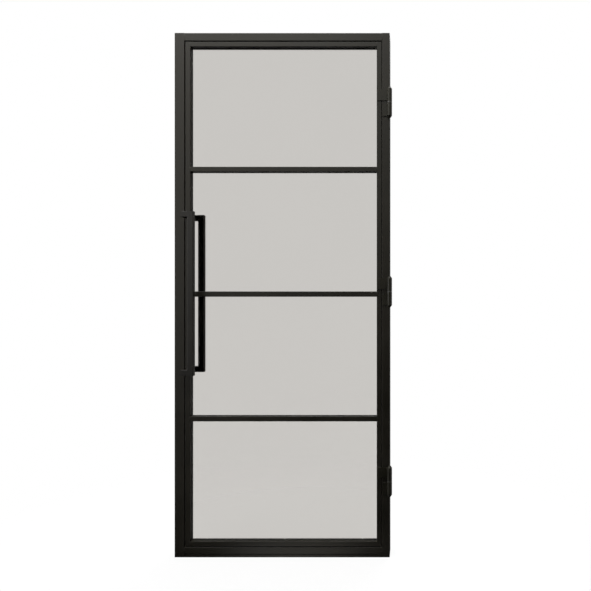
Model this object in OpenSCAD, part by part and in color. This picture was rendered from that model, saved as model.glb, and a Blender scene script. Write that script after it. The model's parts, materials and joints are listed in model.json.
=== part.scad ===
// Slim steel glass door, four panes over one another, hung in its own steel frame.
// Millimetres, +Z up. X runs from the lock side to the hinge side and Y from the
// front, where the hinges are, to the back. The origin is the middle of the
// frame's underside.

/* [Frame] */
// Overall width of the frame
frame_w = 880; // [760:1:1100]
// Overall height of the frame
frame_h = 2145; // [1950:1:2400]
// Depth of the frame, front to back
frame_d = 80; // [70:1:120]
// Face width of the lock jamb
lock_jamb_w = 40; // [30:1:60]
// Face width of the hinge jamb
hinge_jamb_w = 31.5; // [27:0.5:50]
// Face height of the head
head_h = 32; // [24:1:60]
// Face height of the threshold tube
threshold_h = 27; // [24:0.5:50]
// Height of the sill strip under the threshold
sill_h = 13.5; // [8:0.5:25]
// Shadow groove between the sill strip and the threshold
sill_groove = 3; // [1:0.5:5]
// Wall of the steel tubes
wall = 2; // [1.5:0.5:3]
// Outer edge radius of the steel tubes
edge_r = 1.5; // [0.5:0.5:2.5]
// Running gap between the leaf and the rest of the frame
gap = 4; // [3.5:0.5:6]
// Gap between the leaf and the hinge jamb, which the swing opens at once
hinge_gap = 1.5; // [1:0.5:4]

/* [Wall fixings] */
// Diameter of the fixing holes through the jambs
fixing_d = 8.5; // [6:0.5:11]
// Height of the lower fixing holes
fixing_low_z = 200; // [120:1:260]
// Distance of the upper fixing holes from the frame's top
fixing_top_drop = 200; // [120:1:230]
// Distance of the fixing holes from the frame's back
fixing_back = 14; // [10:1:18]

/* [Stops and seals] */
// Depth of the stop strips
stop_d = 12; // [8:1:14]
// How far a stop strip reaches behind the leaf
stop_lap = 12; // [8:1:14]
// Depth of the rubber seal on a stop strip
seal_d = 2.7; // [2:0.1:4]
// Width of the rubber seal
seal_w = 6; // [4:0.5:7]
// Clearance between the closed leaf and the seal
seal_clear = 0.3; // [0.2:0.1:0.6]
// Height left free of stop above and below the handle
stop_free = 12; // [6:1:30]

/* [Magnet catch] */
// Length of the catch magnet in the head stop
magnet_l = 50; // [30:1:80]
// Height of the catch magnet
magnet_h = 5; // [3:0.5:6]
// Depth of the magnet's pocket in the stop
magnet_pocket = 7; // [4:1:7]
// Clearance round the magnet in its pocket
magnet_clear = 0.1; // [0.05:0.05:0.3]
// Gap between the magnet and the closed leaf
magnet_gap = 0.5; // [0.3:0.1:1]
// Distance of the magnet from the lock jamb
magnet_in = 60; // [40:1:120]

/* [Leaf] */
// Face width of the stiles, rails and glazing bars
section_w = 20; // [18:1:26]
// Depth of the front tube of each leaf section
tube_d = 18; // [14:1:26]
// Width of the glazing rebate
rebate_w = 6; // [5:0.5:7]

/* [Glazing] */
// Thickness of the glass
glass_t = 6; // [4:0.5:8]
// Clearance round the glass in its rebate
glass_clear = 2; // [1:0.5:3]
// Thickness of the glazing gaskets
gasket_t = 2; // [1:0.5:3]
// Depth of the glazing beads
bead_d = 6; // [5:0.5:9]
// Joint between an upright bead and a level one
bead_joint = 0.2; // [0.1:0.1:0.5]
// Length of a setting block
block_l = 60; // [40:1:100]
// Distance of a setting block from the end of its pane
block_in = 90; // [70:1:140]
// Diameter of a bead screw
screw_d = 3; // [2.5:0.5:3.5]
// Diameter of a bead screw's head
screw_head_d = 5; // [4:0.5:5]
// Height of a bead screw's head
screw_head_h = 1.2; // [0.8:0.1:2]
// Reach of a bead screw past the bead
screw_bite = 3; // [2.5:0.5:3.5]
// Distance of the first bead screw from a corner
screw_in = 60; // [40:1:90]
// Clearance of a bead screw in its hole
screw_clear = 0.1; // [0.05:0.05:0.2]

/* [Handles] */
// Height of the pull handles
handle_h = 660; // [300:1:900]
// Height of the handles' middle above the floor
handle_z = 1079; // [950:1:1150]
// Width and depth of the handle bar
handle_bar = 24; // [16:1:28]
// Edge radius of the handle bar
handle_r = 2; // [0.5:0.5:3]
// Reach of a handle from the leaf
handle_reach = 56; // [48:1:70]
// Distance of the grip's near side from the leaf's lock edge
grip_in = 28; // [24:1:60]
// Width of a handle's foot
foot_w = 10.7; // [9:0.1:11]
// Diameter of the studs that join the two handles
stud_d = 6; // [5:0.5:6.5]
// Length of a stud inside each handle
stud_bite = 18; // [12:1:24]
// Clearance of a stud in its holes
stud_clear = 0.1; // [0.05:0.05:0.2]

/* [Hinges] */
// Diameter of the hinge barrels
barrel_d = 20; // [16:1:24]
// Length of a hinge barrel
barrel_l = 125; // [100:1:160]
// Distance of the hinge axis from the frame's outer side
axis_in = 0; // [0:0.5:6]
// Clearance of the barrels and straps from the frame's face
face_clear = 1; // [0.5:0.5:3]
// Height of the lower hinge's middle
hinge_low_z = 315; // [200:1:400]
// Distance of the upper hinge's middle from the frame's top
hinge_top_drop = 287; // [200:1:400]
// Diameter of the hinge pin
pin_d = 10; // [8:0.5:11]
// Reach of the pin into each knuckle
pin_bite = 45; // [30:1:46]
// Thickness of the hinge washer
washer_t = 3; // [2:0.5:5]
// Thickness of the straps and flags
strap_t = 3; // [3:0.5:6]
// Height of the straps and flags
strap_h = 44; // [30:1:45]
// Radial clearance of the pin in the turning knuckle
pin_run = 0.05; // [0.02:0.01:0.1]
// Radial clearance of the pin in the fixed knuckle
pin_seat = 0.02; // [0.01:0.01:0.05]
// How far the barrel ends taper in from the side
barrel_chamfer = 5; // [1:0.5:6]
// Height of the taper at a barrel end
barrel_taper = 8; // [2:0.5:12]
// Play between the washer and the turning knuckle
washer_play = 0.1; // [0.05:0.05:0.3]

/* [Hidden] */
$fn = 48;

// Length by which a cutting solid runs past the face that it cuts
over = 1;

// The frame's sides and the leaf that fits between them
left_x = -frame_w / 2;
right_x = frame_w / 2;
front_y = -frame_d / 2;
back_y = frame_d / 2;
lock_face_x = left_x + lock_jamb_w;
hinge_face_x = right_x - hinge_jamb_w;
head_z = frame_h - head_h;
threshold_z = sill_h + threshold_h;
leaf_x0 = lock_face_x + gap;
leaf_x1 = hinge_face_x - hinge_gap;
leaf_z0 = threshold_z + gap;
leaf_z1 = head_z - gap;

// Depths behind the leaf's front face, which is flush with the frame's
flange_y = front_y + tube_d;
glass_y = flange_y + gasket_t;
rear_gasket_y = glass_y + glass_t;
bead_y = rear_gasket_y + gasket_t;
leaf_back_y = bead_y + bead_d;
rebate_d = leaf_back_y - flange_y;

// The glazed openings, counted from the bottom
pane_count = 4;
open_x0 = leaf_x0 + section_w;
open_x1 = leaf_x1 - section_w;
open_z0 = leaf_z0 + section_w;
pane_h = (leaf_z1 - leaf_z0 - (pane_count + 1) * section_w) / pane_count;
pane_step = pane_h + section_w;
web_w = section_w - rebate_w;
bar_web = section_w - 2 * rebate_w;
glass_lap = rebate_w - glass_clear;
function pane_z(i) = open_z0 + i * pane_step;

// Stops behind the leaf
seal_y = leaf_back_y + seal_clear;
stop_y = seal_y + seal_d;
seal_set = (stop_lap - seal_w) / 2;
stop_x0 = leaf_x0 + stop_lap;
stop_x1 = leaf_x1 - stop_lap;
stop_z1 = leaf_z1 - stop_lap;
handle_z0 = handle_z - handle_h / 2;
handle_z1 = handle_z + handle_h / 2;

// Handle places
stud_x = leaf_x0 + web_w - wall - stud_d / 2 - 2 * stud_clear;
foot_x1 = leaf_x0 + web_w;
grip_x = leaf_x0 + grip_in;
stud_zs = [handle_z0 + handle_bar / 2, handle_z1 - handle_bar / 2];

// Hinge places
axis_x = right_x - axis_in;
axis_y = front_y - face_clear - barrel_d / 2;
knuckle_l = (barrel_l - washer_t) / 2;
hinge_top_z = frame_h - hinge_top_drop;
hinge_zs = [hinge_low_z, (hinge_low_z + hinge_top_z) / 2, hinge_top_z];
strap_y = front_y - face_clear - strap_t;

// Magnet place in the head stop
magnet_x = lock_face_x + magnet_in;
magnet_z = head_z - gap - magnet_h - magnet_clear;

// Fixing holes through both jambs
fixing_y = back_y - fixing_back;
fixing_zs = [fixing_low_z, frame_h - fixing_top_drop];

steel = [0.15, 0.145, 0.135];
rubber = [0.06, 0.06, 0.06];
zinc = [0.62, 0.62, 0.6];
nylon = [0.09, 0.09, 0.09];
clear_glass = [0.8, 0.82, 0.8, 0.45];

// A rectangle with rounded corners, from its lower left corner
module round_rect(size, r) {
    translate([r, 0]) square([size[0] - 2 * r, size[1]]);
    translate([0, r]) square([size[0], size[1] - 2 * r]);
    for (x = [r, size[0] - r], y = [r, size[1] - r])
        translate([x, y]) circle(r);
}

// Carries an outline drawn in Y and Z along X
module along_x(x0, x1) {
    translate([x0, 0, 0]) rotate([90, 0, 90]) linear_extrude(x1 - x0) children();
}

// A box between two corners
module box(a, b) {
    translate(a) cube(b - a);
}

// An upright frame tube, closed at its top and open underneath, with its fixing holes
module jamb(x0, w) {
    difference() {
        translate([x0, front_y, 0]) linear_extrude(frame_h) round_rect([w, frame_d], edge_r);
        box([x0 + wall, front_y + wall, -over], [x0 + w - wall, back_y - wall, frame_h - wall]);
        for (z = fixing_zs)
            translate([x0 - over, fixing_y, z]) rotate([0, 90, 0]) cylinder(d = fixing_d, h = w + 2 * over);
    }
}

module lock_jamb() {
    color(steel) jamb(left_x, lock_jamb_w);
}

module hinge_jamb() {
    color(steel) jamb(hinge_face_x, hinge_jamb_w);
}

// A level frame tube, cut square between the jambs
module cross_tube(z0, h) {
    along_x(lock_face_x, hinge_face_x) difference() {
        translate([front_y, z0]) round_rect([frame_d, h], edge_r);
        translate([front_y + wall, z0 + wall]) square([frame_d - 2 * wall, h - 2 * wall]);
    }
}

module head() {
    color(steel) cross_tube(head_z, head_h);
}

module threshold() {
    color(steel) cross_tube(sill_h, threshold_h);
}

// The strip that the threshold stands on, stepped back along its top edge
module sill_strip() {
    color(steel) along_x(lock_face_x, hinge_face_x) difference() {
        translate([front_y, 0]) square([frame_d, sill_h]);
        translate([front_y - over, sill_h - sill_groove]) square([sill_groove + over, sill_groove + over]);
    }
}

// Two lengths of stop on the lock jamb, clear of the back handle's feet
module lock_stop() {
    color(steel) for (z = [[threshold_z, handle_z0 - stop_free], [handle_z1 + stop_free, stop_z1]])
        box([lock_face_x, stop_y, z[0]], [stop_x0, stop_y + stop_d, z[1]]);
}

module hinge_stop() {
    color(steel) box([stop_x1, stop_y, threshold_z], [hinge_face_x, stop_y + stop_d, stop_z1]);
}

module head_stop() {
    color(steel) difference() {
        box([lock_face_x, stop_y, stop_z1], [hinge_face_x, stop_y + stop_d, head_z]);
        box([magnet_x - magnet_clear, stop_y - over, magnet_z - magnet_clear],
            [magnet_x + magnet_l + magnet_clear, stop_y + magnet_pocket, magnet_z + magnet_h + magnet_clear]);
    }
}

module lock_seal() {
    x = stop_x0 - seal_set;
    color(rubber) for (z = [[threshold_z, handle_z0 - stop_free], [handle_z1 + stop_free, stop_z1]])
        box([x - seal_w, seal_y, z[0]], [x, stop_y, z[1]]);
}

module hinge_seal() {
    x = stop_x1 + seal_set;
    color(rubber) box([x, seal_y, threshold_z], [x + seal_w, stop_y, stop_z1]);
}

module head_seal() {
    color(rubber) box([stop_x0, seal_y, stop_z1], [stop_x1, stop_y, stop_z1 + seal_w]);
}

module catch_magnet() {
    color(zinc) box([magnet_x, leaf_back_y + magnet_gap, magnet_z],
        [magnet_x + magnet_l, stop_y + magnet_pocket, magnet_z + magnet_h]);
}

// A hinge knuckle standing on the axis, tapered at its far end and bored from its near end
module knuckle(bore_d) {
    r = barrel_d / 2;
    difference() {
        rotate_extrude() polygon([
            [0, 0], [r, 0], [r, knuckle_l - barrel_taper], [r - barrel_chamfer, knuckle_l], [0, knuckle_l]
        ]);
        translate([0, 0, -over]) cylinder(d = bore_d, h = pin_bite + over);
    }
}

// The fixed half: a knuckle under the washer, with a flag on the hinge jamb's face
module hinge_base(i) {
    flag_z = -washer_t / 2 - (knuckle_l + strap_h) / 2;
    color(steel) translate([axis_x, axis_y, hinge_zs[i]]) difference() {
        union() {
            translate([0, 0, -washer_t / 2]) mirror([0, 0, 1]) knuckle(pin_d + 2 * pin_seat);
            box([hinge_face_x + edge_r - axis_x, strap_y - axis_y, flag_z],
                [0, front_y - axis_y, flag_z + strap_h]);
        }
        translate([0, 0, -washer_t / 2 - pin_bite]) cylinder(d = pin_d + 2 * pin_seat, h = pin_bite);
    }
}

// The turning half: a knuckle over the washer, with a strap that clears the jamb and seats on the stile
module hinge_strap(i) {
    base_z = washer_t / 2 + washer_play;
    strap_z = base_z + (knuckle_l - washer_play - strap_h) / 2;
    pad_x0 = leaf_x1 - section_w + edge_r - axis_x;
    pad_x1 = leaf_x1 - edge_r - axis_x;
    color(steel) translate([axis_x, axis_y, hinge_zs[i]]) difference() {
        union() {
            translate([0, 0, base_z]) knuckle(pin_d + 2 * pin_run);
            box([pad_x0, strap_y - axis_y, strap_z], [0, strap_y + strap_t - axis_y, strap_z + strap_h]);
            box([pad_x0, strap_y - axis_y, strap_z], [pad_x1, front_y - axis_y, strap_z + strap_h]);
        }
        translate([0, 0, base_z - over]) cylinder(d = pin_d + 2 * pin_run, h = pin_bite + over);
    }
}

module hinge_pin(i) {
    color(zinc) translate([axis_x, axis_y, hinge_zs[i] - washer_t / 2 - pin_bite])
        cylinder(d = pin_d, h = 2 * pin_bite + washer_t);
}

module hinge_washer(i) {
    color(nylon) translate([axis_x, axis_y, hinge_zs[i] - washer_t / 2]) difference() {
        cylinder(d = barrel_d, h = washer_t);
        translate([0, 0, -over]) cylinder(d = pin_d + 2 * pin_run, h = washer_t + 2 * over);
    }
}

module hinge_base_low() { hinge_base(0); }
module hinge_base_mid() { hinge_base(1); }
module hinge_base_top() { hinge_base(2); }
module hinge_pin_low() { hinge_pin(0); }
module hinge_pin_mid() { hinge_pin(1); }
module hinge_pin_top() { hinge_pin(2); }
module hinge_washer_low() { hinge_washer(0); }
module hinge_washer_mid() { hinge_washer(1); }
module hinge_washer_top() { hinge_washer(2); }
module hinge_strap_low() { hinge_strap(0); }
module hinge_strap_mid() { hinge_strap(1); }
module hinge_strap_top() { hinge_strap(2); }

// Places of the bead screws round one pane: each points out of the pane, into the web
module at_bead_screws(i) {
    z0 = pane_z(i);
    y = bead_y + bead_d / 2;
    for (z = [z0 + screw_in, z0 + pane_h / 2, z0 + pane_h - screw_in]) {
        translate([open_x0, y, z]) rotate([0, -90, 0]) children();
        translate([open_x1, y, z]) rotate([0, 90, 0]) children();
    }
    for (x = [open_x0 + screw_in, (open_x0 + open_x1) / 2, open_x1 - screw_in]) {
        translate([x, y, z0]) rotate([180, 0, 0]) children();
        translate([x, y, z0 + pane_h]) children();
    }
}

// All the bead screws' holes, through the beads and into the webs
module bead_screw_holes() {
    for (i = [0 : pane_count - 1])
        at_bead_screws(i)
            translate([0, 0, -over]) cylinder(d = screw_d + 2 * screw_clear, h = rebate_w + screw_bite + over);
}

// A leaf section's outline in X and Y: a front tube with a web behind it, beside the rebate
module stile_outline(web_side) {
    web_x = web_side < 0 ? 0 : rebate_w;
    difference() {
        union() {
            round_rect([section_w, tube_d], edge_r);
            translate([web_x, tube_d - edge_r]) square([web_w, rebate_d + edge_r]);
            translate([edge_r, tube_d - edge_r]) square([section_w - 2 * edge_r, edge_r]);
        }
        stile_hollow(web_side);
    }
}

// The two chambers of a stile
module stile_hollow(web_side) {
    web_x = web_side < 0 ? 0 : rebate_w;
    translate([wall, wall]) square([section_w - 2 * wall, tube_d - 2 * wall]);
    translate([web_x + wall, tube_d]) square([web_w - 2 * wall, rebate_d - wall]);
}

// A stile with its top closed by a cap
module stile(x0, web_side) {
    difference() {
        union() {
            translate([x0, front_y, leaf_z0]) linear_extrude(leaf_z1 - leaf_z0) stile_outline(web_side);
            translate([x0, front_y, leaf_z1 - wall]) linear_extrude(wall) stile_hollow(web_side);
        }
        bead_screw_holes();
    }
}

// The lock stile is drilled right through for the handle studs
module lock_stile() {
    color(steel) difference() {
        stile(leaf_x0, -1);
        for (z = stud_zs)
            translate([stud_x, front_y - over, z]) rotate([-90, 0, 0])
                cylinder(d = stud_d + 2 * stud_clear, h = leaf_back_y - front_y + 2 * over);
    }
}

module hinge_stile() {
    color(steel) stile(leaf_x1 - section_w, 1);
}

// A level section between the stiles. Its web is coped to run on into the stiles' rebates
module level_section(z0, web_z, web_h, hollow_web) {
    difference() {
        union() {
            along_x(open_x0, open_x1) difference() {
                translate([front_y, z0]) round_rect([tube_d, section_w], edge_r);
                translate([front_y + wall, z0 + wall]) square([tube_d - 2 * wall, section_w - 2 * wall]);
            }
            along_x(open_x0 - rebate_w, open_x1 + rebate_w) difference() {
                translate([flange_y, web_z]) square([rebate_d, web_h]);
                if (hollow_web)
                    translate([flange_y + wall, web_z + wall]) square([rebate_d - 2 * wall, web_h - 2 * wall]);
            }
        }
        bead_screw_holes();
    }
}

module top_rail() {
    z = leaf_z1 - section_w;
    color(steel) level_section(z, z + rebate_w, web_w, true);
}

module bottom_rail() {
    color(steel) level_section(leaf_z0, leaf_z0, web_w, true);
}

// A glazing bar on top of one pane, with its web in the middle
module glazing_bar(i) {
    z = pane_z(i) + pane_h;
    color(steel) level_section(z, z + rebate_w, bar_web, false);
}

module bar_1() { glazing_bar(0); }
module bar_2() { glazing_bar(1); }
module bar_3() { glazing_bar(2); }

// A flat ring round one pane, reaching a given way past the opening
module pane_ring(i, reach, y, t) {
    z = pane_z(i);
    difference() {
        box([open_x0 - reach, y, z - reach], [open_x1 + reach, y + t, z + pane_h + reach]);
        box([open_x0, y - over, z], [open_x1, y + t + over, z + pane_h]);
    }
}

module glass(i) {
    color(clear_glass)
        box([open_x0 - glass_lap, glass_y, pane_z(i) - glass_lap],
            [open_x1 + glass_lap, glass_y + glass_t, pane_z(i) + pane_h + glass_lap]);
}

// Gaskets grip the glass against the front tubes and the beads
module front_gasket(i) {
    color(rubber) pane_ring(i, glass_lap, flange_y, gasket_t);
}

module rear_gasket(i) {
    color(rubber) pane_ring(i, glass_lap, rear_gasket_y, gasket_t);
}

// Four strips of bead hold one pane in from the back: two level ones, and two between them
module bead(i) {
    z0 = pane_z(i);
    z1 = z0 + pane_h;
    color(steel) difference() {
        union() {
            for (z = [z0 - rebate_w, z1])
                box([open_x0 - rebate_w, bead_y, z], [open_x1 + rebate_w, leaf_back_y, z + rebate_w]);
            for (x = [open_x0 - rebate_w, open_x1])
                box([x, bead_y, z0 + bead_joint], [x + rebate_w, leaf_back_y, z1 - bead_joint]);
        }
        bead_screw_holes();
    }
}

module glass_1() { glass(0); }
module glass_2() { glass(1); }
module glass_3() { glass(2); }
module glass_4() { glass(3); }
module front_gasket_1() { front_gasket(0); }
module front_gasket_2() { front_gasket(1); }
module front_gasket_3() { front_gasket(2); }
module front_gasket_4() { front_gasket(3); }
module rear_gasket_1() { rear_gasket(0); }
module rear_gasket_2() { rear_gasket(1); }
module rear_gasket_3() { rear_gasket(2); }
module rear_gasket_4() { rear_gasket(3); }
module bead_1() { bead(0); }
module bead_2() { bead(1); }
module bead_3() { bead(2); }
module bead_4() { bead(3); }

// Pan-headed screws, heads on the beads' inner sides
module bead_screws() {
    color(zinc) for (i = [0 : pane_count - 1])
        at_bead_screws(i) {
            translate([0, 0, -screw_head_h]) cylinder(d = screw_head_d, h = screw_head_h);
            cylinder(d = screw_d, h = rebate_w + screw_bite - screw_clear);
        }
}

// Two blocks under each pane carry its weight
module setting_blocks() {
    block_d = glass_t + gasket_t;
    y = glass_y - gasket_t / 2;
    color(rubber) for (i = [0 : pane_count - 1], x = [open_x0 + block_in, open_x1 - block_in])
        box([x - block_l / 2, y, pane_z(i) - rebate_w], [x + block_l / 2, y + block_d, pane_z(i) - glass_lap]);
}

// A pull: an upright grip on two arms that step across to feet on the lock stile.
// It is drawn with its feet at Y = 0 and its grip towards -Y.
module pull() {
    difference() {
        union() {
            translate([grip_x, -handle_reach, handle_z0])
                linear_extrude(handle_h) round_rect([handle_bar, handle_bar], handle_r);
            for (z = [handle_z0, handle_z1 - handle_bar]) {
                along_x(foot_x1 - foot_w, grip_x + handle_bar - handle_r)
                    translate([-handle_reach, z]) round_rect([handle_bar, handle_bar], handle_r);
                box([foot_x1 - foot_w, handle_bar / 2 - handle_reach, z + handle_r],
                    [foot_x1, 0, z + handle_bar - handle_r]);
            }
        }
        for (z = stud_zs)
            translate([stud_x, -stud_bite - stud_clear, z]) rotate([-90, 0, 0])
                cylinder(d = stud_d + 2 * stud_clear, h = stud_bite + stud_clear + over);
    }
}

module front_handle() {
    color(steel) translate([0, front_y, 0]) pull();
}

module rear_handle() {
    color(steel) translate([0, leaf_back_y, 0]) mirror([0, 1, 0]) pull();
}

module handle_studs() {
    color(zinc) for (z = stud_zs)
        translate([stud_x, front_y - stud_bite, z]) rotate([-90, 0, 0])
            cylinder(d = stud_d, h = leaf_back_y - front_y + 2 * stud_bite);
}

lock_jamb();
hinge_jamb();
head();
threshold();
sill_strip();
lock_stop();
hinge_stop();
head_stop();
lock_seal();
hinge_seal();
head_seal();
catch_magnet();
hinge_base_low();
hinge_base_mid();
hinge_base_top();
hinge_pin_low();
hinge_pin_mid();
hinge_pin_top();
hinge_washer_low();
hinge_washer_mid();
hinge_washer_top();
hinge_strap_low();
hinge_strap_mid();
hinge_strap_top();
lock_stile();
hinge_stile();
top_rail();
bottom_rail();
bar_1();
bar_2();
bar_3();
glass_1();
glass_2();
glass_3();
glass_4();
front_gasket_1();
front_gasket_2();
front_gasket_3();
front_gasket_4();
rear_gasket_1();
rear_gasket_2();
rear_gasket_3();
rear_gasket_4();
bead_1();
bead_2();
bead_3();
bead_4();
bead_screws();
setting_blocks();
front_handle();
rear_handle();
handle_studs();
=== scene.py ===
# %% [markdown]
# A slim black steel door with four panes, in its own frame.
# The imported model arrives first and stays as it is: every tube, pane and hinge is already in its
# place, in metres. What is left for Blender is the finish of each surface, the small worked
# details, the light and the camera.

import json
import math

import bmesh
import bpy
import numpy as np
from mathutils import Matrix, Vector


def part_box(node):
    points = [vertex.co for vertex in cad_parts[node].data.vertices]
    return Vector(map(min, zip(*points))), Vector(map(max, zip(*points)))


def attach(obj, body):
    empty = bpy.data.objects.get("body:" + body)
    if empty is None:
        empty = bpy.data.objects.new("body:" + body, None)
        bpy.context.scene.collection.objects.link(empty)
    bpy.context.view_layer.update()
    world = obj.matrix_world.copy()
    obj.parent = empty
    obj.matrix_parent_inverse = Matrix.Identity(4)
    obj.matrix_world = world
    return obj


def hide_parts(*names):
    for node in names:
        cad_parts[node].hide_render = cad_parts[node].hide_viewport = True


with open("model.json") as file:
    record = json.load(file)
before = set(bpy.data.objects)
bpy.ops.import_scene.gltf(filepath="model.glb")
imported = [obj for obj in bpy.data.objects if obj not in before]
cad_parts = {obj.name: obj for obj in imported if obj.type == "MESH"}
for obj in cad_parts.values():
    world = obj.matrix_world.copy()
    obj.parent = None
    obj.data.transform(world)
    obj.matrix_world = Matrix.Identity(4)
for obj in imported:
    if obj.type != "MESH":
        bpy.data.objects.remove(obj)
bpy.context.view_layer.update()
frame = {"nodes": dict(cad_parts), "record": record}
nodes = frame["nodes"]
MM = 0.001
print("door loaded:", len(nodes), "nodes")

# %% [markdown]
# The photograph looks straight at the door, so level edges stay level, but the inner sides of the
# openings show on the left only. The camera therefore stands to the right of the door, looks
# straight ahead, and its picture is shifted sideways to bring the door back into the middle, as a
# view camera does. Turning the camera instead would make the top and bottom edges lean.

# %% Camera
CAMERA_PLACE = (0.531, -2.440, 1.077)
SENSOR_MM = 36
LENS_MM = 35.74
SHIFT_X = -0.197
SHIFT_Y = -0.0025
STRAIGHT_AHEAD = (math.pi / 2, 0, 0)
camera_data = bpy.data.cameras.new("door_camera")
camera_data.sensor_width = SENSOR_MM
camera_data.lens = LENS_MM
camera_data.shift_x = SHIFT_X
camera_data.shift_y = SHIFT_Y
camera = bpy.data.objects.new("door_camera", camera_data)
camera.location = CAMERA_PLACE
camera.rotation_euler = STRAIGHT_AHEAD
bpy.context.scene.collection.objects.link(camera)
bpy.context.scene.camera = camera
print("camera at", CAMERA_PLACE, "with a lens of", LENS_MM, "mm")

# %% [markdown]
# Materials are node trees. Wiring them by hand takes many lines, so one small class wraps a
# socket: arithmetic on it adds Math nodes, and one method adds any other node. A finish then
# reads as a formula.

# %% Shader maths as expressions


class Wire:
    """A socket of a node tree. Arithmetic with numbers or other wires adds Math nodes."""

    def __init__(self, tree, socket=None):
        self.tree = tree
        self.socket = socket

    def node(self, kind, settings, inputs, out=0):
        """Adds a node: its settings first, then a value or a link for each input. Gives an output."""
        made = self.tree.nodes.new(kind)
        for name, value in settings.items():
            setattr(made, name, value)
        for name, value in inputs.items():
            if isinstance(value, Wire):
                self.tree.links.new(value.socket, made.inputs[name])
            else:
                made.inputs[name].default_value = value
        return Wire(self.tree, made.outputs[out] if made.outputs else None)

    def math(self, operation, a, b):
        """Adds a Math node of two inputs."""
        return self.node("ShaderNodeMath", {"operation": operation}, {0: a, 1: b})

    def __add__(self, other):
        return self.math("ADD", self, other)

    __radd__ = __add__

    def __sub__(self, other):
        return self.math("SUBTRACT", self, other)

    def __rsub__(self, other):
        return self.math("SUBTRACT", other, self)

    def __mul__(self, other):
        return self.math("MULTIPLY", self, other)

    __rmul__ = __mul__


print("shader expressions ready")

# %% [markdown]
# A finish needs few kinds of nodes: cloudy noise for what varies, a stretch that makes a mask of
# it, a blend of two colours, and a bump. Each gets a short function. The noise reads Object
# coordinates, so its blots have a real size in millimetres, whatever piece it is on.

# %% The makings of a finish
MIX_FACTOR, MIX_A, MIX_B, MIX_COLOUR = 0, 6, 7, 2


def new_tree(name):
    """A material with an empty node tree, and a wire to start building in it."""
    material = bpy.data.materials.new(name)
    material.use_nodes = True
    material.node_tree.nodes.clear()
    return material, Wire(material.node_tree)


def place(start):
    """Where a point of the surface lies, in metres."""
    return start.node("ShaderNodeTexCoord", {}, {}, "Object")


def noise(start, size_mm, detail=2.0):
    """Cloudy values from 0 to 1 whose blots are about size_mm across."""
    inputs = {"Vector": place(start), "Scale": 1 / MM / size_mm, "Detail": detail}
    return start.node("ShaderNodeTexNoise", {}, inputs)


def between(start, mask, low, high):
    """The mask, stretched smoothly so that low gives 0 and high gives 1."""
    inputs = {"Value": mask, "From Min": low, "From Max": high}
    return start.node("ShaderNodeMapRange", {"interpolation_type": "SMOOTHSTEP"}, inputs)


def swing(mask, size):
    """A value that goes from -size / 2 to size / 2 as the mask goes from 0 to 1."""
    return size * (mask - 0.5)


def blend(start, mask, dark, light):
    """A colour between two colours, by the mask."""
    inputs = {MIX_FACTOR: mask, MIX_A: (*dark, 1), MIX_B: (*light, 1)}
    return start.node("ShaderNodeMix", {"data_type": "RGBA"}, inputs, MIX_COLOUR)


def bump(start, height, depth_mm, strength):
    """Normals of a surface that is raised by the height, up to a depth."""
    inputs = {"Height": height, "Distance": depth_mm * MM, "Strength": strength}
    return start.node("ShaderNodeBump", {}, inputs)


def close(start, inputs):
    """Ends a tree with a Principled shader."""
    shader = start.node("ShaderNodeBsdfPrincipled", {}, inputs)
    start.node("ShaderNodeOutputMaterial", {}, {"Surface": shader})


print("makings of a finish ready")

# %% [markdown]
# Powder coat is baked paint. Seen close, its surface is not flat but softly dimpled, like an
# orange's skin with dimples a millimetre or two across. Its sheen varies a little, and its black is
# a warm one. A plain black would look like plastic, so noise of three sizes makes the slow change
# of colour, the dimples and the fine grain. The tubes, hinges and handles share the recipe with
# different depths of black.

# %% Powder coat
COAT_GLOSS = 0.10
CLOUD_MM, CLOUD_DETAIL, CLOUD_SPAN = 140, 3.0, (0.35, 0.65)
CLOUD_SHARE, CLOUD_SWING = 0.75, 0.1
GRAIN_MM, GRAIN_SWING = 0.5, 0.06
DIMPLE_MM, DIMPLE_DETAIL, DIMPLE_GRAIN = 1.8, 1.0, 0.35
DIMPLE_DEPTH_MM, DIMPLE_STRENGTH = 0.05, 0.7


def powder_coat(name, roughness, dark, light):
    """Satin paint: the colour follows cloud and grain, the roughness swings a little with both, and
    the bump is dimples plus some grain."""
    material, start = new_tree(name)
    cloud = between(start, noise(start, CLOUD_MM, CLOUD_DETAIL), *CLOUD_SPAN)
    grain = noise(start, GRAIN_MM)
    dimples = noise(start, DIMPLE_MM, DIMPLE_DETAIL) + DIMPLE_GRAIN * grain
    shade = CLOUD_SHARE * cloud + (1 - CLOUD_SHARE) * grain
    close(start, {
        "Base Color": blend(start, shade, dark, light),
        "Roughness": roughness + swing(cloud, CLOUD_SWING) + swing(grain, GRAIN_SWING),
        "Specular IOR Level": COAT_GLOSS,
        "Normal": bump(start, dimples, DIMPLE_DEPTH_MM, DIMPLE_STRENGTH),
    })
    return material


frame_black = powder_coat(
    "frame_black", roughness=0.38, dark=(0.0124, 0.0110, 0.0076), light=(0.0166, 0.0150, 0.0110))
hinge_black = powder_coat(
    "hinge_black", roughness=0.38, dark=(0.0120, 0.0110, 0.0070), light=(0.0162, 0.0149, 0.0100))
handle_black = powder_coat(
    "handle_black", roughness=0.36, dark=(0.0130, 0.0119, 0.0098), light=(0.0176, 0.0162, 0.0138))
print("powder coats:", frame_black.name, hinge_black.name, handle_black.name)

# %% [markdown]
# The panes are one sheet of clear, faintly grey glass each. A see-through colour would give the
# tint alone, but glass also mirrors and bends light, so it is a Principled shader with full
# transmission. Toughened glass has run over rollers while it was soft, which leaves very shallow
# level waves in it, so its reflections bend a little.

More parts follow.
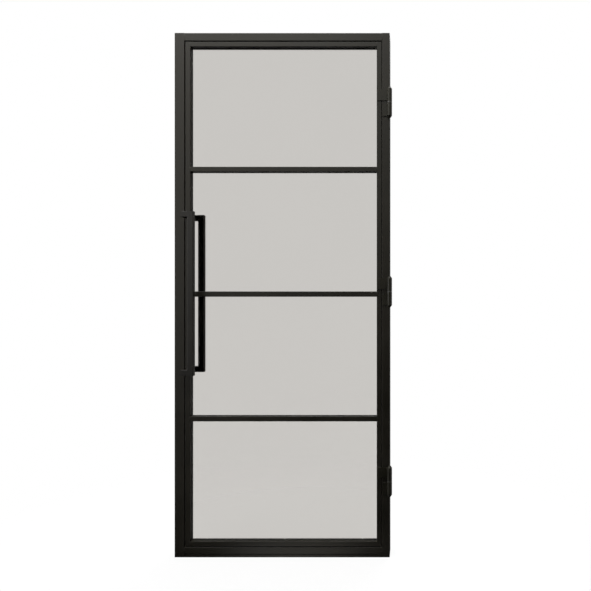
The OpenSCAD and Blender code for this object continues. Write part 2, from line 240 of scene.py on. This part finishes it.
# %% Glass
GLASS_IOR = 1.5
GLASS_TINT = ((0.569, 0.552, 0.528), (0.584, 0.567, 0.542))
TINT_MM, TINT_DETAIL = 400, 1.0
ROLLER_WAVES = {"Scale": 1.1, "Distortion": 0.6, "Detail": 1.0}
WAVE_DEPTH_MM, WAVE_STRENGTH = 0.02, 0.3


def pane_finish():
    """Clear glass: the tint drifts slowly, and level waves bend the normals."""
    material, start = new_tree("grey_glass")
    waves = start.node("ShaderNodeTexWave", {"bands_direction": "Z"},
                       {"Vector": place(start), **ROLLER_WAVES})
    close(start, {
        "Base Color": blend(start, noise(start, TINT_MM, TINT_DETAIL), *GLASS_TINT),
        "Roughness": 0.0,
        "IOR": GLASS_IOR,
        "Transmission Weight": 1.0,
        "Normal": bump(start, waves, WAVE_DEPTH_MM, WAVE_STRENGTH),
    })
    return material


grey_glass = pane_finish()
print("glass:", grey_glass.name)

# %% [markdown]
# The small things each have their own finish: dull rubber for the seals and gaskets, zinc plate on
# the screws, pins and studs, black nylon for the hinge washers and grey plastic for the blocks that
# the panes stand on. Two recipes are enough for them: a dull one that is patchy with a fine grain,
# and a bare metal with spangles and fine scratches.

# %% Rubber, plastic and bare metal
DULL_GLOSS = 0.3
DULL_PATCH_MM, DULL_SWING = 40, 0.12
DULL_GRAIN_MM, DULL_GRAIN_DEPTH_MM = 0.6, 0.02
SPANGLE_MM, SPANGLE_DETAIL, SPANGLE_SWING = 9, 3.0, 0.16
SCRATCH_MM, SCRATCH_DEPTH_MM = 0.4, 0.008
FINE_STRENGTH = 0.5


def dull(name, roughness, dark, light):
    """Rubber or plastic: colour and roughness follow patches, and the bump is a fine grain."""
    material, start = new_tree(name)
    patch = noise(start, DULL_PATCH_MM)
    grain = noise(start, DULL_GRAIN_MM)
    close(start, {
        "Base Color": blend(start, patch, dark, light),
        "Roughness": roughness + swing(patch, DULL_SWING),
        "Specular IOR Level": DULL_GLOSS,
        "Normal": bump(start, grain, DULL_GRAIN_DEPTH_MM, FINE_STRENGTH),
    })
    return material


def bare_metal(name, roughness, dark, light):
    """Plated steel: colour and roughness follow spangles, and the bump is fine scratches."""
    material, start = new_tree(name)
    spangle = noise(start, SPANGLE_MM, SPANGLE_DETAIL)
    scratches = noise(start, SCRATCH_MM)
    close(start, {
        "Base Color": blend(start, spangle, dark, light),
        "Roughness": roughness + swing(spangle, SPANGLE_SWING),
        "Metallic": 1.0,
        "Normal": bump(start, scratches, SCRATCH_DEPTH_MM, FINE_STRENGTH),
    })
    return material


black_rubber = dull("black_rubber", 0.75, (0.010, 0.010, 0.010), (0.018, 0.018, 0.017))
block_plastic = dull("block_plastic", 0.55, (0.085, 0.085, 0.085), (0.115, 0.115, 0.115))
zinc_plate = bare_metal("zinc_plate", 0.36, (0.50, 0.51, 0.53), (0.60, 0.60, 0.59))
washer_nylon = dull("washer_nylon", 0.5, (0.014, 0.014, 0.013), (0.022, 0.021, 0.020))
print("small finishes:", black_rubber.name, block_plastic.name, zinc_plate.name, washer_nylon.name)

# %% [markdown]
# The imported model's record says which material slot each node takes. A table from slot to finish
# dresses them all. Only the handles and the hinges depart from it, with blacks of their own.

# %% Finishes on the nodes
SLOT_FINISH = {
    "coated_steel": frame_black,
    "pane_glass": grey_glass,
    "black_rubber": black_rubber,
    "block_plastic": block_plastic,
    "zinc_steel": zinc_plate,
    "washer_nylon": washer_nylon,
}
for part in frame["record"]["subparts"]:
    name = part["node"]
    finish = SLOT_FINISH[part["material_slot"]]
    if name.endswith("_handle"):
        finish = handle_black
    elif name.startswith(("hinge_base", "hinge_strap")):
        finish = hinge_black
    nodes[name].data.materials.clear()
    nodes[name].data.materials.append(finish)
print("finishes on", len(nodes), "nodes")

# %% [markdown]
# The worked details are surfaces on a grid: a row of the grid is one station along a path or one
# ring of a turned shape, and its columns run round the outline. They could be modelled by hand, but
# a formula keeps the ripples of a weld or the cross in a screw even, and its sizes can be read. A
# few helpers serve all of them, in millimetres.

# %% Helpers for surfaces


def grid_faces(rows, columns, ring=False):
    """Corner numbers of the quads between neighbouring rows. Columns run round, and so do the rows
    of a ring."""
    r, c = np.meshgrid(np.arange(rows if ring else rows - 1), np.arange(columns), indexing="ij")
    r_next, c_next = (r + 1) % rows, (c + 1) % columns
    corners = [r * columns + c, r * columns + c_next,
               r_next * columns + c_next, r_next * columns + c]
    return np.stack(corners, axis=-1).reshape(-1, 4)


def circle(radius, sides):
    """Points round a circle: (r cos a, r sin a), with the angle a in equal steps."""
    angle = np.arange(sides) * 2 * np.pi / sides
    return radius * np.stack([np.cos(angle), np.sin(angle)], axis=-1)


def swept(path, size, first, second, outline):
    """An outline carried along a straight path: path + size * (a * first + b * second), with (a, b)
    on the outline. A size of 0 at a station closes the end there."""
    spread = outline[:, :1] * np.array(first, float) + outline[:, 1:] * np.array(second, float)
    points = np.asarray(path, float)[:, None] + np.asarray(size, float)[:, None, None] * spread
    return points.reshape(-1, 3), grid_faces(len(path), len(outline))


def copies(points, faces, spots, axes):
    """One small shape at many spots: spot + x * (Y cross axis) + y * Y + z * axis, with an axis for
    each spot."""
    spots, axes = np.array(spots, float)[:, None], np.array(axes, float)[:, None]
    level = np.array((0.0, 1.0, 0.0))
    places = (spots + points[:, :1] * np.cross(level, axes) + points[:, 1:2] * level
              + points[:, 2:] * axes)
    shifts = np.arange(len(spots))[:, None, None] * len(points)
    return places.reshape(-1, 3), (faces + shifts).reshape(-1, 4)


def box_mm(node):
    """A node's lowest and highest corners, in millimetres."""
    low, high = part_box(node)
    return np.array(low) / MM, np.array(high) / MM


print("surface helpers ready")

# %% [markdown]
# Every new piece is finished in the same way: its surfaces are joined into one mesh, in metres, the
# points that meet at a pole are merged, the faces turn outwards, and edges that bend sharply stay
# crisp. Then it rides on its body, the frame or the leaf, and moves with it.

# %% From surfaces to a piece
MERGE = 1e-6
CRISP_DEG = 40


def finished_piece(name, parts, finish, body):
    """Joins (points, faces) pairs into one closed mesh that rides on a body."""
    starts = np.cumsum([0] + [len(points) for points, faces in parts])
    points = np.concatenate([points for points, faces in parts]) * MM
    faces = np.concatenate([parts[k][1] + starts[k] for k in range(len(parts))])
    mesh = bpy.data.meshes.new(name)
    mesh.from_pydata(points.tolist(), [], faces.tolist())
    closed = bmesh.new()
    closed.from_mesh(mesh)
    bmesh.ops.remove_doubles(closed, verts=closed.verts, dist=MERGE)
    bmesh.ops.recalc_face_normals(closed, faces=closed.faces)
    closed.to_mesh(mesh)
    closed.free()
    mesh.shade_smooth()
    mesh.set_sharp_from_angle(angle=math.radians(CRISP_DEG))
    mesh.materials.append(finish)
    made = bpy.data.objects.new(name, mesh)
    bpy.context.scene.collection.objects.link(made)
    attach(made, body)
    print(name, "rides on", body, "with", len(mesh.polygons), "faces")
    return made


print("pieces can be finished")

# %% [markdown]
# Small pan-headed screws hold the glazing beads from the back. A plain disc would do from across a
# room, but close up the eye looks for the rounded head and the cross that the driver fits. Each
# screw is a turned shape: rings of growing radius over the head, then under it and down the shank.
# The cross is pressed in by pushing points of the head down wherever they lie in one of its two
# arms.

# %% Turned screws
SCREW_SIDES = 24


def turned(profile, sides):
    """A turned shape: ring k has the points (r cos a, r sin a, h) for its radius r and height h."""
    radius, height = np.array(profile, float).T
    rings = radius[:, None, None] * circle(1.0, sides)
    points = np.dstack([rings, np.broadcast_to(height[:, None], rings.shape[:2])])
    return points.reshape(-1, 3), grid_faces(len(profile), sides)


def driver_cross(points, arm, half_width):
    """0 to 1: how far a point lies in the cross. The smaller of |x| and |y| is compared with the
    half width of an arm and the larger one with its length. The sides slope over half of the half
    width, and the ends over a quarter of the length."""
    flat = np.abs(points[:, :2])
    side = np.clip(2 * (half_width - flat.min(axis=1)) / half_width, 0, 1)
    end = np.clip(4 * (arm - flat.max(axis=1)) / arm, 0, 1)
    return side * end


def cross_screw(profile, top, depth, arm, half_width):
    """A turned screw that points along +Z: what lies before the height top is the head's face, and
    the cross pushes it in by up to its depth."""
    points, faces = turned(profile, SCREW_SIDES)
    points[:, 2] += depth * (points[:, 2] < top) * driver_cross(points, arm, half_width)
    return points, faces


print("screws have", SCREW_SIDES, "sides")

# %% [markdown]
# Three screws go through each of a pane's four beads into the steel behind it. Their places follow
# from the box of the beads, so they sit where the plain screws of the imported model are, which they
# replace.

# %% Bead screws
PANES = (1, 2, 3, 4)
BEAD = 6.0
SCREW_IN = 60.0
PAN_PROFILE = [(0, -1.2), (0.35, -1.2), (0.7, -1.19), (1.05, -1.17), (1.4, -1.13), (1.8, -1.05),
               (2.2, -0.9), (2.45, -0.72), (2.5, -0.5), (2.5, 0), (1.5, 0), (1.5, 8.0), (0.5, 8.9),
               (0, 8.9)]
pan_screw = cross_screw(PAN_PROFILE, top=-0.6, depth=0.55, arm=1.6, half_width=0.55)
screw_spots, screw_axes = [], []
for pane in PANES:
    low, high = box_mm(f"bead_{pane}")
    low, high = low + (BEAD, 0, BEAD), high - (BEAD, 0, BEAD)
    middle = (low + high) / 2
    for z in (low[2] + SCREW_IN, middle[2], high[2] - SCREW_IN):
        screw_spots += [(low[0], middle[1], z), (high[0], middle[1], z)]
        screw_axes += [(-1, 0, 0), (1, 0, 0)]
    for x in (low[0] + SCREW_IN, middle[0], high[0] - SCREW_IN):
        screw_spots += [(x, middle[1], low[2]), (x, middle[1], high[2])]
        screw_axes += [(0, 0, -1), (0, 0, 1)]
pan_screws = finished_piece("pan_screws", [copies(*pan_screw, screw_spots, screw_axes)],
                            zinc_plate, "leaf")
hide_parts("bead_screws")

# %% [markdown]
# The stops are screwed to the frame with countersunk screws, set flush and coated over with the
# frame. Their heads sit on the sides of the stops that face the doorway. They are turned as the
# others are, with a flat head and a wider cross.

# %% Stop screws
STOP_FREE = 12.0
STOP_SCREW_IN = 70.0
HEAD_SCREW_IN = 2 * STOP_SCREW_IN
LOCK_SCREWS, HINGE_SCREWS, HEAD_SCREWS = 3, 7, 3
FLAT_PROFILE = [(0, -0.25), (0.5, -0.25), (1.0, -0.25), (1.5, -0.24), (2.0, -0.23), (2.5, -0.21),
                (3.0, -0.18), (3.4, -0.1), (3.4, 0.1), (1.8, 2.2), (0, 2.2)]
flat_screw = cross_screw(FLAT_PROFILE, top=0, depth=0.9, arm=2.3, half_width=0.75)


def spaced(low, high, inset, count):
    """Places in equal steps from low to high, with an inset at both ends."""
    return np.linspace(low + inset, high - inset, count)


lock_low, lock_high = box_mm("lock_stop")
hinge_low, hinge_high = box_mm("hinge_stop")
head_low, head_high = box_mm("head_stop")
pull_low, pull_high = box_mm("rear_handle")
lock_lengths = [(lock_low[2], pull_low[2] - STOP_FREE), (pull_high[2] + STOP_FREE, lock_high[2])]
lock_zs = [z for a, b in lock_lengths for z in spaced(a, b, STOP_SCREW_IN, LOCK_SCREWS)]
hinge_zs = spaced(hinge_low[2], hinge_high[2], STOP_SCREW_IN, HINGE_SCREWS)
head_xs = spaced(head_low[0], head_high[0], HEAD_SCREW_IN, HEAD_SCREWS)
stop_y = (lock_low[1] + lock_high[1]) / 2
stop_spots = [(lock_high[0], stop_y, z) for z in lock_zs]
stop_spots += [(hinge_low[0], stop_y, z) for z in hinge_zs]
stop_spots += [(x, stop_y, head_low[2]) for x in head_xs]
stop_axes = [(-1, 0, 0)] * len(lock_zs) + [(1, 0, 0)] * len(hinge_zs) + [(0, 0, 1)] * len(head_xs)
finished_piece("stop_screws", [copies(*flat_screw, stop_spots, stop_axes)],
               hinge_black, "frame")

# %% [markdown]
# The seals on the stops are extruded rubber: a flat foot with a soft bulb on it, which the closing
# leaf presses. The solids are plain strips. Here the true outline is carried along each length, as
# the rubber comes out of its die.

# %% Bulb seals
BULB_R = 1.5
BULB_UP = 1.2
BULB_DEG, BULB_POINTS = (-25, 205), 17
SEAL_MIDDLE = 1.0
FOOT = np.array([(3, 0), (3, 0.35), (2.8, 0.5)])
MIRRORED = (-1, 1)
CUT_ENDS = (0, 1, 1, 0)
bulb_angle = np.radians(np.linspace(*BULB_DEG, BULB_POINTS))
bulb = np.stack([BULB_R * np.cos(bulb_angle), BULB_UP + BULB_R * np.sin(bulb_angle)], axis=-1)
seal_outline = np.concatenate([FOOT, bulb, FOOT[::-1] * MIRRORED])
seal_outline[:, 1] -= SEAL_MIDDLE


def bulb_seal(name, node, axis, across, lengths=None):
    """Rubber lengths along one axis, the foot on the stop behind them and the bulb towards the leaf.
    They lie in the middle of the plain strip's box, and without lengths run from end to end of it."""
    low, high = box_mm(node)
    middle = (low + high) / 2
    middle[1] = high[1] - SEAL_MIDDLE
    parts = []
    for a, b in lengths or [(low[axis], high[axis])]:
        path = np.tile(middle, (len(CUT_ENDS), 1))
        path[:, axis] = (a, a, b, b)
        parts.append(swept(path, CUT_ENDS, across, (0, -1, 0), seal_outline))
    return finished_piece(name, parts, black_rubber, "frame")


X, Z = 0, 2
lock_bulb = bulb_seal("lock_bulb", "lock_seal", Z, (1, 0, 0), lock_lengths)
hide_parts("lock_seal")
hinge_bulb = bulb_seal("hinge_bulb", "hinge_seal", Z, (1, 0, 0))
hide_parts("hinge_seal")
head_bulb = bulb_seal("head_bulb", "head_seal", X, (0, 0, 1))
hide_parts("head_seal")

# %% [markdown]
# The gaskets grip the glass inside the rebates, and a soft round lip of each shows along the edge of
# every pane. It is a circle carried once round the opening. At a corner the circle is stretched along
# the diagonal, as a mitre does, so that the lip keeps its width on both sides of it.

# %% Gasket lips
LIP_R, LIP_SIDES = 1.0, 12
GASKET_LAP = np.array((4.0, 0, 4.0))
lip_circle = circle(LIP_R, LIP_SIDES)


def mitred_lip(low, high, y):
    """A circle round a rectangle: corner + a * diagonal in X and Z, and y + b in Y, with (a, b) on
    the circle."""
    corners = np.array([(low[0], low[2]), (high[0], low[2]), (high[0], high[2]), (low[0], high[2])])
    inwards = np.array([(1, 1), (-1, 1), (-1, -1), (1, -1)], float)
    spread = corners[:, None] + lip_circle[:, :1] * inwards[:, None]
    depth = np.broadcast_to(y + lip_circle[:, 1], spread.shape[:2])
    points = np.stack([spread[:, :, 0], depth, spread[:, :, 1]], axis=-1)
    return points.reshape(-1, 3), grid_faces(len(corners), len(lip_circle), ring=True)


for side in ("front", "rear"):
    loops = []
    for pane in PANES:
        low, high = box_mm(f"{side}_gasket_{pane}")
        loops.append(mitred_lip(low + GASKET_LAP, high - GASKET_LAP, (low[1] + high[1]) / 2))
    finished_piece(f"{side}_lips", loops, black_rubber, "leaf")

# %% [markdown]
# The hinge halves are welded on: each flag to the hinge jamb, each strap to the stile, and both to
# their knuckles. A laid weld is a row of small overlapping ripples with rounded ends. It could be a
# row of squashed balls, but a rod whose radius swells and drops once a ripple stays one clean
# surface. Most of it is buried in the corner that it fills.

# %% Hinge welds
WELD_R, WELD_SIDES = 1.6, 10
RIPPLE = 1.7
RIPPLE_STEPS = 5
RIPPLE_DROP = 0.2
KNUCKLE_R = 10.0
PLATE_H = 44.0
PLATE_T = 4.0
FLAG_INSET = 3.5
STRAP_INSET = 2.5
weld_circle = circle(WELD_R, WELD_SIDES)


def weld(start, end, first, second):
    """A rippled rod: at a distance s the size is (1 - RIPPLE_DROP * f^2) * sqrt(1 - e^2), with f the
    part of the ripple passed so far, and e from 0 to 1 over the last WELD_R at either end."""
    start, end = np.array(start, float), np.array(end, float)
    length = np.linalg.norm(end - start)
    s = np.linspace(0, length, int(length / RIPPLE * RIPPLE_STEPS) + 1)
    e = np.clip(1 - np.minimum(s, length - s) / WELD_R, 0, 1)
    size = (1 - RIPPLE_DROP * np.mod(s / RIPPLE, 1) ** 2) * np.sqrt(1 - e ** 2)
    return swept(start + s[:, None] / length * (end - start), size, first, second, weld_circle)


def plate_welds(node, plate_x, seat_y):
    """Welds of one hinge half: along the plate's two level edges on its seat, and up the knuckle's
    side, where the plate's front runs into the round."""
    low, high = box_mm(node)
    middle_z = (low[2] + high[2]) / 2
    plate_z = (middle_z - PLATE_H / 2, middle_z + PLATE_H / 2)
    front_y = seat_y - PLATE_T
    reach = math.sqrt(KNUCKLE_R ** 2 - (front_y - low[1] - KNUCKLE_R) ** 2)
    beads = [weld((plate_x[0], seat_y, z), (plate_x[1], seat_y, z), (0, 1, 0), (0, 0, 1))
             for z in plate_z]
    side_x = high[0] - KNUCKLE_R - reach
    side = [(side_x, front_y, z) for z in (plate_z[0] + WELD_R, plate_z[1] - WELD_R)]
    return beads + [weld(*side, (1, 0, 0), (0, 1, 0))]


frame_beads, leaf_beads = [], []
jamb_low = box_mm("hinge_jamb")[0]
stile_low, stile_high = box_mm("hinge_stile")
strap_x = (stile_low[0] + STRAP_INSET, stile_high[0] - STRAP_INSET)
for level in ("low", "mid", "top"):
    base_high = box_mm(f"hinge_base_{level}")[1]
    flag_x = (jamb_low[0] + FLAG_INSET, base_high[0] - 2 * KNUCKLE_R)
    frame_beads += plate_welds(f"hinge_base_{level}", flag_x, jamb_low[1])
    leaf_beads += plate_welds(f"hinge_strap_{level}", strap_x, stile_low[1])
finished_piece("flag_welds", frame_beads, hinge_black, "frame")
finished_piece("strap_welds", leaf_beads, hinge_black, "leaf")

# %% [markdown]
# The tubes have rounded edges, so where a level tube meets an upright one a small groove would be
# left. The maker fills it with weld and grinds it almost flush, and the coat hides the rest. Without
# the fill, every joint would show a dark nick. It could be a plain block, but a block would stand
# out of the groove. So the fill has the groove's own outline, a quarter of a hollow circle with a
# slightly crowned top, carried up the joint.

# %% Ground joints
EDGE_R = 1.5
CROWN = 0.08
CROWN_FROM, CROWN_TO = -EDGE_R - 0.3, 0.5
IN_THE_POST = [(CROWN_TO, -0.3), (0.2, -EDGE_R)]
SUNK = 0.12
CURVE_POINTS = 7
GROOVE_MIDDLE = np.array((-0.35, -0.3))
JOINT_INSET = 0.9
JOINT_TAPER = 0.6
arc = np.linspace(0, np.pi / 2, CURVE_POINTS)
hollow = np.stack([-EDGE_R + EDGE_R * np.cos(arc), -EDGE_R + EDGE_R * np.sin(arc)], axis=-1)
crown = np.stack([np.linspace(CROWN_FROM, CROWN_TO, CURVE_POINTS),
                  CROWN * np.sin(np.linspace(0, np.pi, CURVE_POINTS))], axis=-1)
groove_outline = np.concatenate([crown, IN_THE_POST, hollow - SUNK])


def ground_joint(x, y, low_z, high_z, towards_x, outwards_y):
    """The fill of one groove, a little short of the tube's height: x + a * towards_x and
    y + b * outwards_y, with (a, b) on the outline. Both ends taper to a point."""
    z0, z1 = low_z + JOINT_INSET, high_z - JOINT_INSET
    at = (x + GROOVE_MIDDLE[0] * towards_x, y + GROOVE_MIDDLE[1] * outwards_y)
    path = [(*at, z0), (*at, z0 + JOINT_TAPER), (*at, z1 - JOINT_TAPER), (*at, z1)]
    return swept(path, CUT_ENDS, (towards_x, 0, 0), (0, outwards_y, 0),
                 groove_outline - GROOVE_MIDDLE)


frame_joints, leaf_joints = [], []
for tube in ("head", "threshold"):
    low, high = box_mm(tube)
    for x, towards_x in ((low[0], 1), (high[0], -1)):
        for y, outwards_y in ((low[1], -1), (high[1], 1)):
            frame_joints.append(ground_joint(x, y, low[2], high[2], towards_x, outwards_y))
left = box_mm("lock_stile")[1][0]
right = box_mm("hinge_stile")[0][0]
for tube in ("bottom_rail", "bar_1", "bar_2", "bar_3", "top_rail"):
    low, high = box_mm(tube)
    for x, towards_x in ((left, 1), (right, -1)):
        leaf_joints.append(ground_joint(x, low[1], low[2], high[2], towards_x, -1))
finished_piece("frame_joints", frame_joints, frame_black, "frame")
finished_piece("leaf_joints", leaf_joints, frame_black, "leaf")

# %% [markdown]
# The studio is as plain as the photograph's: white all round where the camera or the glass looks at
# it, and only a mild fill for the rest. Satin steel spreads what it mirrors into a broad sheen, so
# the steel may see a different studio from the one that the camera sees. The Light Path node tells
# what kind of ray asks for a colour, and one formula for it serves the world and the floor.

# %% What a ray sees
THROUGH = 0.45


def ray(start, name):
    """One fact about the ray that asks for a colour, from 0 to 1."""
    return start.math("MINIMUM", start.node("ShaderNodeLightPath", {}, {}, name), 1.0)


def whiteness(start, sheen):
    """How white the studio looks along a ray: 1 where the camera sees it straight on, mirrored in
    the glass or through it, sheen where the steel mirrors it, THROUGH where the steel mirrors it
    through the glass, and 0 for light that a dull surface has already scattered."""
    mirrored = ray(start, "Is Glossy Ray")
    passed = ray(start, "Is Transmission Ray")
    not_straight = start.math("MAXIMUM", mirrored, passed)
    seen = start.math("MAXIMUM", ray(start, "Is Camera Ray"), not_straight)
    spread = mirrored * (1 - ray(start, "Is Singular Ray"))
    spread_and_passed = passed * ray(start, "Glossy Depth")
    kept = 1 - spread * (1 - sheen) - spread_and_passed * (1 - THROUGH)
    return seen * kept * (1 - ray(start, "Diffuse Depth"))


print("steel that mirrors through the glass sees", THROUGH, "of the white")

# %% [markdown]
# In the photograph the sheen is brightest at the top left and almost gone at the foot. So the world
# that the steel mirrors gets brighter upwards and to the left, more so in front of the door than
# behind it. A weaker glow straight to the right keeps the hinge side from going black in a view from
# there. Real screens would do the same, but the panes would mirror them too.

# %% World
STUDIO_FILL = 0.05
SHEEN_FRONT, SHEEN_BACK = 5.8, 1.2
SHEEN_LEAN = (-0.8, 0, 1)
SHEEN_RAMP = (0.0, 0.62)
FRONT_RAMP = (-0.2, 0.4)
SHEEN_RIGHT = 3.0
RIGHT_RAMP = (0.5, 0.95)
WHITE = (1, 1, 1, 1)
world = bpy.data.worlds.new("white_studio")
bpy.context.scene.world = world
world.use_nodes = True
world.node_tree.nodes.clear()
sky = Wire(world.node_tree)
direction = sky.node("ShaderNodeTexCoord", {}, {}, "Generated")


def along(axis):
    """How far the ray's direction points along an axis."""
    inputs = {0: direction, 1: axis}
    return sky.node("ShaderNodeVectorMath", {"operation": "DOT_PRODUCT"}, inputs, "Value")


in_front = between(sky, along((0, -1, 0)), *FRONT_RAMP)
upper_left = between(sky, along(SHEEN_LEAN), *SHEEN_RAMP)
to_the_right = between(sky, along((1, 0, 0)), *RIGHT_RAMP)
most = SHEEN_BACK + (SHEEN_FRONT - SHEEN_BACK) * in_front
sheen = most * upper_left + SHEEN_RIGHT * to_the_right
brightness = STUDIO_FILL + (1 - STUDIO_FILL) * whiteness(sky, sheen)
glow = sky.node("ShaderNodeBackground", {}, {"Color": WHITE, "Strength": brightness})
sky.node("ShaderNodeOutputWorld", {}, {"Surface": glow})
print("world set: fill", STUDIO_FILL, "sheen", SHEEN_FRONT, "in front and", SHEEN_BACK, "behind")

# %% [markdown]
# One wide softbox hangs over the door and lights the floor on both sides of it, a smaller one
# stands high in front, and a third lights the beads and the pull at the back. Bare bulbs would be
# brighter for their size, but their shadows have hard edges.

# %% Softboxes


def softbox(name, size, watts, location, tilt_deg):
    """A lamp with a rectangular face that looks down, tilted about X."""
    lamp = bpy.data.lights.new(name, "AREA")
    lamp.shape = "RECTANGLE"
    lamp.size, lamp.size_y = size
    lamp.energy = watts
    box = bpy.data.objects.new(name, lamp)
    box.location = location
    box.rotation_euler = (math.radians(tilt_deg), 0, 0)
    bpy.context.scene.collection.objects.link(box)
    print(name, watts, "W")


WIDE, SMALL = (3.2, 3.2), (1.8, 1.0)
softbox("overhead_softbox", WIDE, watts=150, location=(0.0, 0.3, 4.2), tilt_deg=0)
softbox("front_softbox", SMALL, watts=33, location=(-0.7, -1.45, 3.4), tilt_deg=46)
softbox("back_softbox", SMALL, watts=50, location=(0.7, 1.7, 3.5), tilt_deg=-46)

# %% [markdown]
# The floor keeps a soft shadow close to the sill and fades out further away, so that no horizon
# shows. Its white is a glow, as the world's is, and its paper is dark, so that it throws little
# light back on the door. The sill is lighter in the photograph than the posts above it, because it
# mirrors the lit floor before it. A bright patch there gives it the same sheen.

# %% Floor
FLOOR_HALF = 4.0
FLOOR_SOLID, FLOOR_GONE = 0.5, 1.6
FLOOR_PAPER = 0.1
FLOOR_GLOW = 0.92
SHEEN_FLOOR = 3.8
PATCH_SHRINK = (0.35, 1, 1)
PATCH_SHIFT = (-0.014, 0.12, 0)
PATCH_RAMP = (0.03, 0.16)
floor_corners = FLOOR_HALF * np.array([(-1, -1, 0), (1, -1, 0), (1, 1, 0), (-1, 1, 0)])
floor_mesh = bpy.data.meshes.new("studio_floor")
floor_mesh.from_pydata(floor_corners.tolist(), [], [(0, 1, 2, 3)])
floor = bpy.data.objects.new("studio_floor", floor_mesh)
bpy.context.scene.collection.objects.link(floor)
floor_white, start = new_tree("floor_white")


def distance(spot):
    """How far a spot lies from the origin."""
    return start.node("ShaderNodeVectorMath", {"operation": "LENGTH"}, {0: spot}, "Value")


fade = 1 - between(start, distance(place(start)), FLOOR_SOLID, FLOOR_GONE)
patch_place = start.node("ShaderNodeVectorMath", {"operation": "MULTIPLY_ADD"},
                         {0: place(start), 1: PATCH_SHRINK, 2: PATCH_SHIFT})
sill_sheen = SHEEN_FLOOR * (1 - between(start, distance(patch_place), *PATCH_RAMP))
paper_colour = (FLOOR_PAPER, FLOOR_PAPER, FLOOR_PAPER, 1)
floor_light = FLOOR_GLOW * whiteness(start, sill_sheen)
paper = start.node("ShaderNodeBsdfDiffuse", {}, {"Color": paper_colour})
lit = start.node("ShaderNodeEmission", {}, {"Color": WHITE, "Strength": floor_light})
ground = start.node("ShaderNodeAddShader", {}, {0: paper, 1: lit})
nothing = start.node("ShaderNodeBsdfTransparent", {}, {"Color": WHITE})
floor_shader = start.node("ShaderNodeMixShader", {}, {0: fade, 1: nothing, 2: ground})
start.node("ShaderNodeOutputMaterial", {}, {"Surface": floor_shader})
floor_mesh.materials.append(floor_white)
bpy.context.scene.view_settings.view_transform = "Standard"
print("floor set: paper", FLOOR_PAPER, "glow", FLOOR_GLOW)
